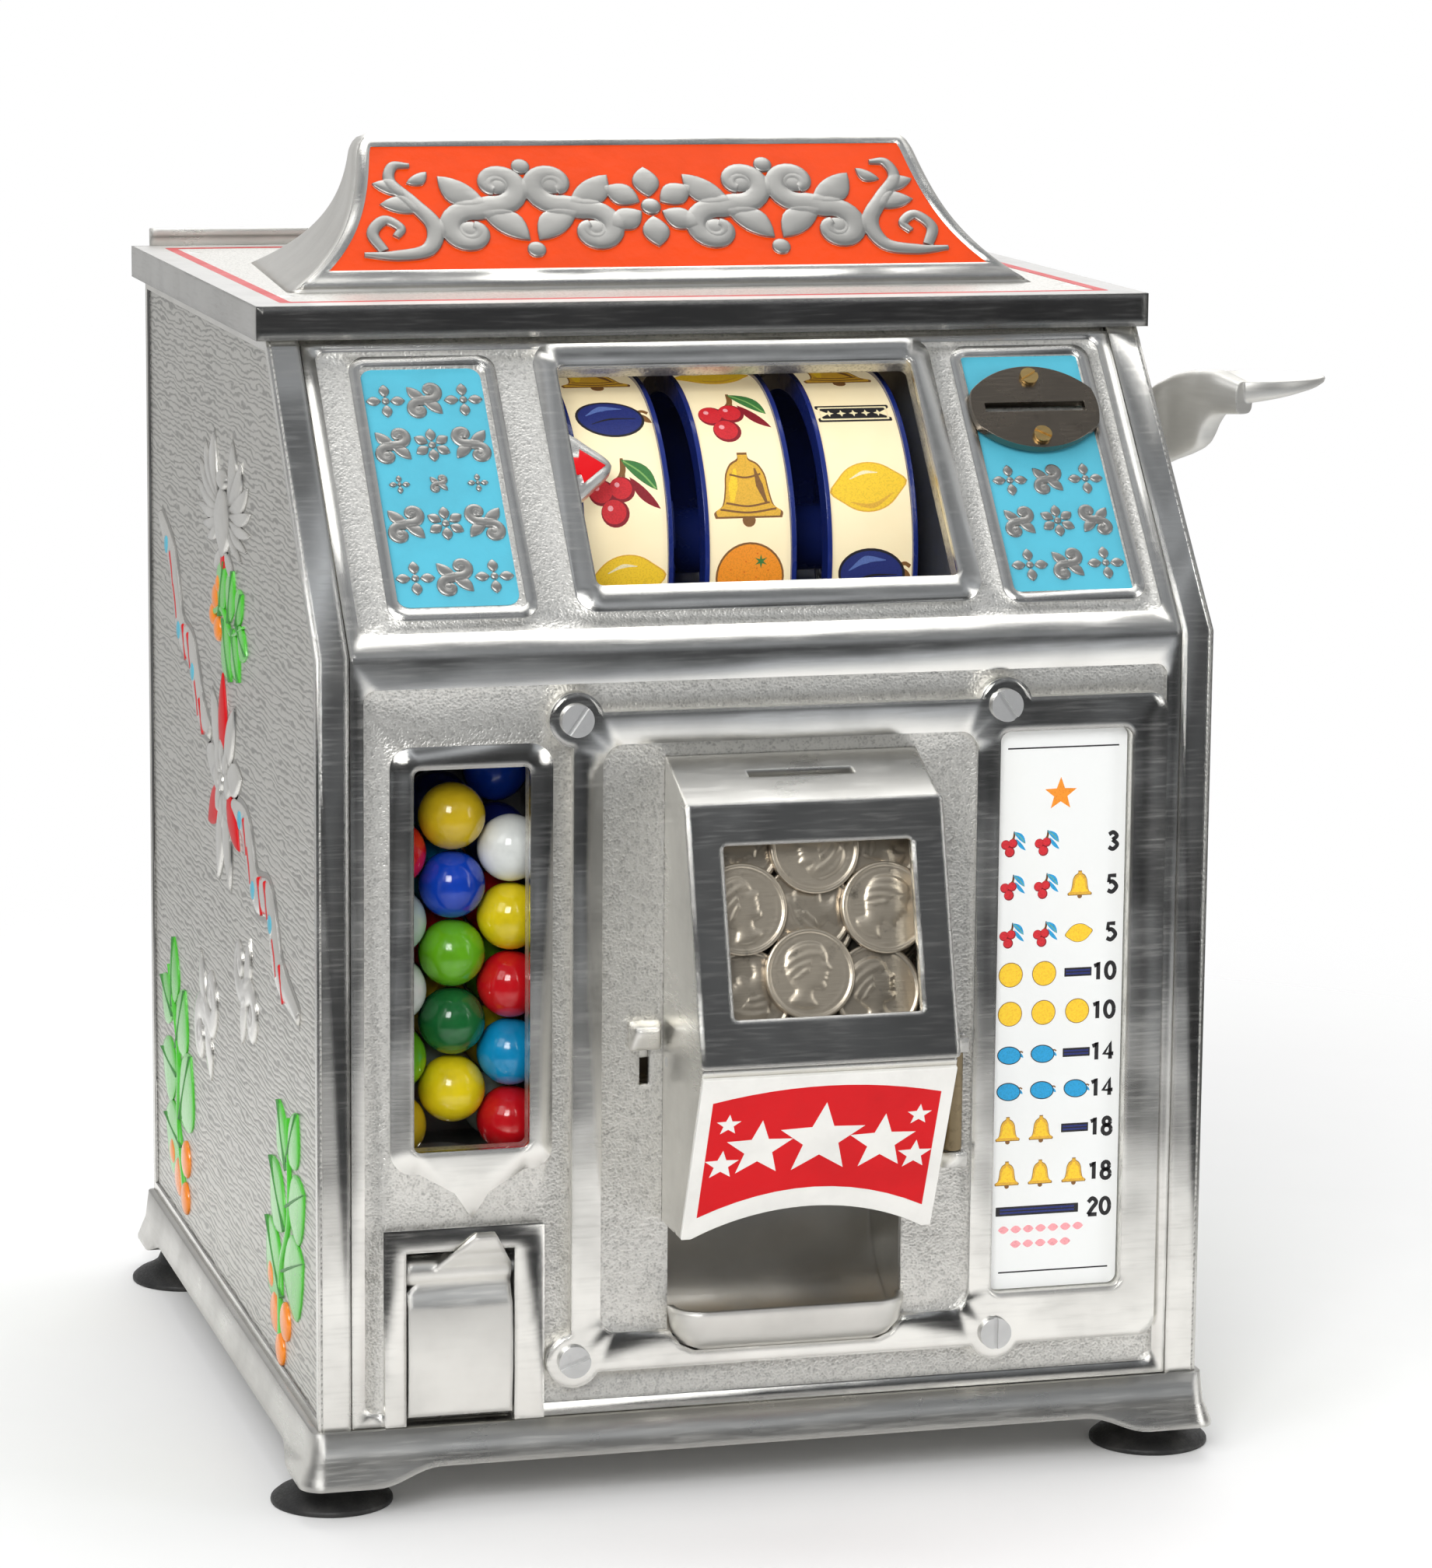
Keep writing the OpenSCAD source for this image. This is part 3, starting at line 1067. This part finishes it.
// Mechanism frame
spacer_dia = 7;
plates_top = base_top + body_h - 8;
spacers = [[front_y + 64, 12], [back_y - 34, 12], [back_y - 42, knee_h - 30], [stop_y + 8, body_h - 16]];
module mech_plates() color("silver") for (x = [mech_l - mech_t, mech_r]) translate([x + mech_t / 2, 0, 0])
    along_x(mech_t) difference() {
        polygon([
            [front_y + 56, base_top], [back_y - 26, base_top], [back_y - 26, knee_z - 60],
            [back_y - 36, knee_z - 2], [stop_y + 22, plates_top], [front_y + 68, plates_top],
            [front_y + 24, knee_z + 10], [front_y + 24, knee_z - 30], [front_y + 56, knee_z - 70]
        ]);
        translate([reel_y, reel_z]) circle(reel_shaft_dia / 2 + 0.02);
        translate([stop_y, stop_z]) circle(stop_rod / 2 + fit);
        translate([handle_y, base_top + handle_z]) circle(handle_dia / 2 + fit);
        for (p = spacers) translate([p[0], base_top + p[1]]) circle(2);
    }
module mech_spacers() color("gray") for (p = spacers) translate([0, p[0], base_top + p[1]]) {
    rod_x(spacer_dia, mech_l, mech_r);
    rod_x(4, mech_l - mech_t, mech_r + mech_t);
    for (x = [mech_l - mech_t - 2.5, mech_r + mech_t]) rod_x(7, x, x + 2.5);
}

// Coin chute and cash box in the right-hand bay
chute_in = 12;
chute_t = 1.2;
chute_w = slot_w + 0.8;
chute_h = slot_h + 1;
shaft_w = chute_w + 0.8;
chute_y = front_y + coin_s * sin(lean) + chute_in * cos(lean);
chute_z = knee_z + coin_s * cos(lean) - chute_in * sin(lean);
box_h = 56;
module coin_chute() color("gainsboro") difference() {
    union() {
        on_lean(-chute_in - 3) translate([blue_x - chute_w / 2 - chute_t, coin_s - chute_h / 2 - chute_t, 0])
            cube([chute_w + 2 * chute_t, chute_h + 2 * chute_t, chute_in + 3 - inner_depth]);
        translate([blue_x - shaft_w / 2 - chute_t, chute_y - 4, base_top + box_h + 4])
            cube([shaft_w + 2 * chute_t, 8, chute_z - base_top - box_h - 3.2]);
    }
    on_lean(-chute_in - 1) translate([blue_x - chute_w / 2, coin_s - chute_h / 2, 0])
        cube([chute_w, chute_h, chute_in + 10]);
    translate([blue_x - shaft_w / 2, chute_y - 4 + chute_t, base_top + box_h])
        cube([shaft_w, 8 - 2 * chute_t, chute_z - base_top - box_h]);
}
box_t = 1.2;
box_d = body_d - 78;
box_x0 = mech_r + mech_t + 4;
box_x1 = body_w / 2 - side_t - foot_rib - 1;
module cash_box() color("gray") difference() {
    translate([box_x0, front_y + 30, base_top]) cube([box_x1 - box_x0, box_d, box_h]);
    translate([box_x0 + box_t, front_y + 30 + box_t, base_top + box_t])
        cube([box_x1 - box_x0 - 2 * box_t, box_d - 2 * box_t, box_h]);
}

// Back door with its lock
door_t = 2.4;
lock_x = -body_w / 2 + 25;
lock_z = base_top + 130;
lock_dia = 14;
lock_reach = 19;
cam_y = back_y - 6 - 1.6 - 0.4;
module back_door() color("silver") {
    difference() {
        union() {
            translate([-body_w / 2 + 1.5, back_y + 0.4, base_top + 1])
                cube([hinge_x - 2.7 + body_w / 2 - 1.5, door_t, body_h - 2]);
            for (z = hinge_z) {
                translate([hinge_x, hinge_y, z]) cylinder(d = knuckle_dia, h = knuckle_h);
                translate([hinge_x - 6, hinge_y - 1.2, z]) cube([6, 1.2, knuckle_h]);
            }
        }
        translate([lock_x, back_y - 1, lock_z]) rotate([-90, 0, 0]) cylinder(d = lock_dia + 0.1, h = 9);
        for (z = hinge_z) translate([hinge_x, hinge_y, z - 1])
            cylinder(d = hinge_pin_dia + 2 * fit, h = knuckle_h + 2);
    }
}
module door_lock() color("goldenrod") translate([lock_x, 0, lock_z]) {
    translate([0, cam_y, 0]) rotate([-90, 0, 0]) cylinder(d = lock_dia, h = back_y + 0.4 + door_t - cam_y);
    translate([0, back_y + 0.4 + door_t + 0.1, 0]) rotate([-90, 0, 0]) difference() {
        cylinder(d = lock_dia + 4, h = 2);
        translate([-0.8, -3, 1]) cube([1.6, 6, 4]);
    }
    translate([-4, cam_y, 0]) cube([8, 1.6, lock_reach]);
}

base_casting();
suction_feet();
foot_studs();
base_screws();
left_side();
right_side();
front_casting();
lid_casting();
lid_rail();
lid_screws();
marquee();
strap_plate();
plate_screws();
coin_plate();
coin_plate_screws();
reel_glass();
gum_glass();
award_card();
card_glass();
payout_cup();
jackpot_door();
jackpot_frame();
jackpot_glass();
sign_panel();
door_hinge();
door_pin();
door_latch();
coin_trap();
jackpot_coins();
gum_hopper();
gumballs();
gum_wheel();
gum_wheel_shaft();
gum_cup();
gum_flap();
flap_pin();
flap_spring();
mech_plates();
mech_spacers();
reel_shaft();
reel_collars();
reel_1();
reel_2();
reel_3();
strip_1();
strip_2();
strip_3();
stop_lever_1();
stop_lever_2();
stop_lever_3();
lift_bail();
link_rod();
handle();
handle_shaft();
handle_bush();
handle_spring();
coin_chute();
cash_box();
back_door();
door_lock();
